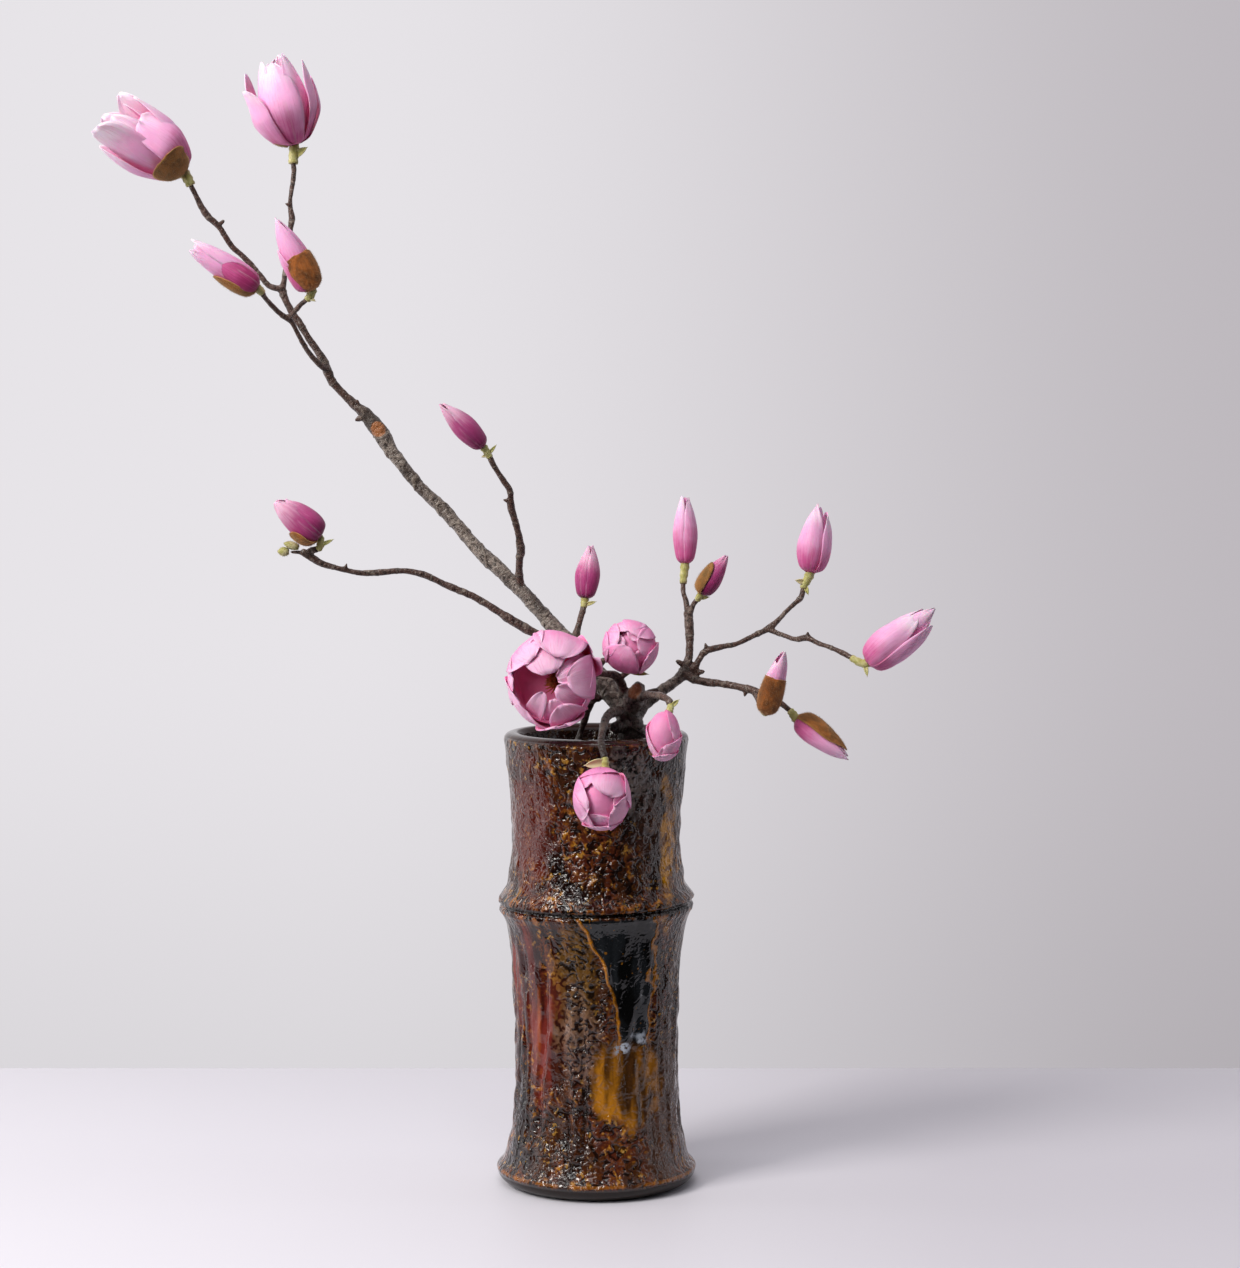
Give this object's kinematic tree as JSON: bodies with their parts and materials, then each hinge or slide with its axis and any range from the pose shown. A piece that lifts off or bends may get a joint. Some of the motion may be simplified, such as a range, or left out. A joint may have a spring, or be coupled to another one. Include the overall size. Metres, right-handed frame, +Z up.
{
  "type": "ikebana arrangement",
  "caption": "Ikebana arrangement: a leaning magnolia branch with pink blooms and buds, standing in water in a tall brown-glazed vase shaped like a length of bamboo.",
  "frame": {"origin": "centre of the vase's flat foot, on the surface that it stands on", "axes": "+Z up along the vase's axis, -Y towards the front, +X to the right as seen from the front; the long branch leans towards -X"},
  "size_m": [0.5833, 0.1944, 0.8081],
  "materials": {
    "vase_glaze": "very glossy dark brown ash glaze, amber and oxblood patches",
    "water": "clear still water",
    "holder_wood": "cut green wood, damp",
    "bark": "matt grey-brown bark with pale lichen patches",
    "dark_bark": "matt dark purple-brown bark",
    "pale_tepal": "satin petal, pale pink tip to magenta foot",
    "deep_tepal": "satin petal, deep magenta",
    "stalk": "waxy yellow-green stalk",
    "bud_scale": "matt brown velvety hairs",
    "stamen": "matt orange-brown",
    "leaf_bud": "matt, downy cream-green"
  },
  "bodies": {
    "root": {"vase": "vase_glaze", "water": "water", "lower_stick": "holder_wood", "upper_stick": "holder_wood", "main_branch": "bark", "left_branch": "dark_bark", "bloom_a": "pale_tepal", "bloom_b": "pale_tepal", "bloom_c": "deep_tepal", "bloom_d": "pale_tepal", "bloom_e": "deep_tepal", "bloom_f": "deep_tepal", "bloom_g": "deep_tepal", "bloom_h": "pale_tepal", "bloom_i": "deep_tepal", "bloom_j": "pale_tepal", "bloom_k": "pale_tepal", "bloom_l": "pale_tepal", "bloom_m": "pale_tepal", "bloom_n": "pale_tepal", "bloom_o": "pale_tepal", "bloom_p": "pale_tepal", "bloom_q": "pale_tepal", "stalk_a": "stalk", "stalk_b": "stalk", "stalk_c": "stalk", "stalk_d": "stalk", "stalk_e": "stalk", "stalk_f": "stalk", "stalk_g": "stalk", "stalk_h": "stalk", "stalk_i": "stalk", "stalk_j": "stalk", "stalk_k": "stalk", "stalk_l": "stalk", "stalk_m": "stalk", "stalk_n": "stalk", "stalk_o": "stalk", "stalk_p": "stalk", "stalk_q": "stalk", "scale_a": "bud_scale", "scale_b": "bud_scale", "scale_c": "bud_scale", "scale_d": "bud_scale", "scale_f": "bud_scale", "scale_i": "bud_scale", "scale_l": "bud_scale", "scale_m": "bud_scale", "stamens_n": "stamen", "leaf_bud_upper": "leaf_bud", "leaf_bud_lower": "leaf_bud"}
  },
  "joints": []
}
